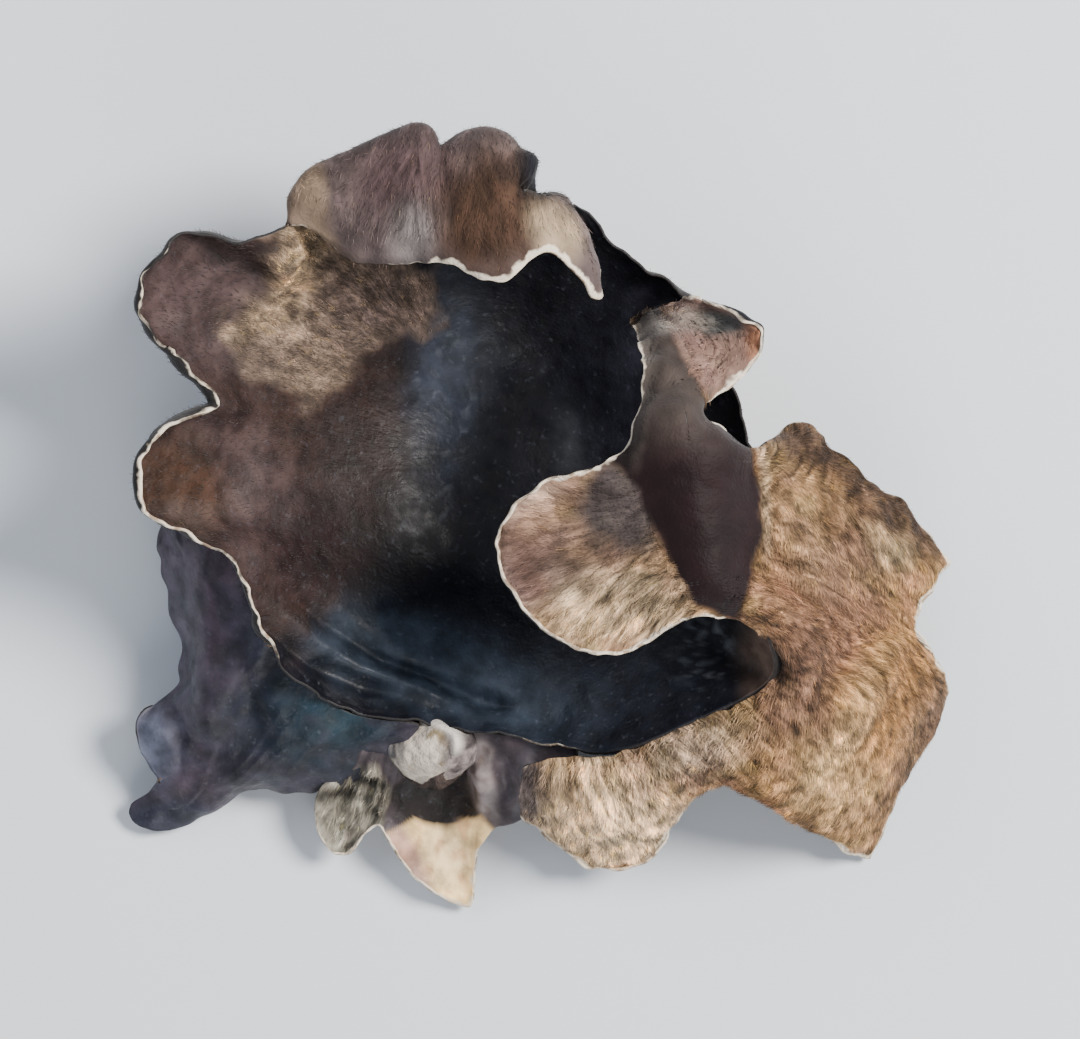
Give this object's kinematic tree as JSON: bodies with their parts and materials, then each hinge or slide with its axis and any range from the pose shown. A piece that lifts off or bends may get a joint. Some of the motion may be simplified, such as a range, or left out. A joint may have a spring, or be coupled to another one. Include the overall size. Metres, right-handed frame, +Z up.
{
  "type": "wood ear mushroom",
  "caption": "Dried wood ear mushroom: a thin leathery cup with rolled margins, a turned-over felted flap, a dark apron and a small pale foothold.",
  "frame": {"origin": "centre of the bounding box's bottom face, on the surface the mushroom lies on", "axes": "+X to the viewer's right along the longest extent, +Y away from the foothold, +Z up out of the cup"},
  "size_m": [0.077, 0.0722, 0.0292],
  "materials": {
    "leathery_sheet": "dried: satin blue-black to brown inside, matt golden-tan felt on the outer face, cream rim"
  },
  "bodies": {
    "root": {"wood_ear": "leathery_sheet"}
  },
  "joints": []
}
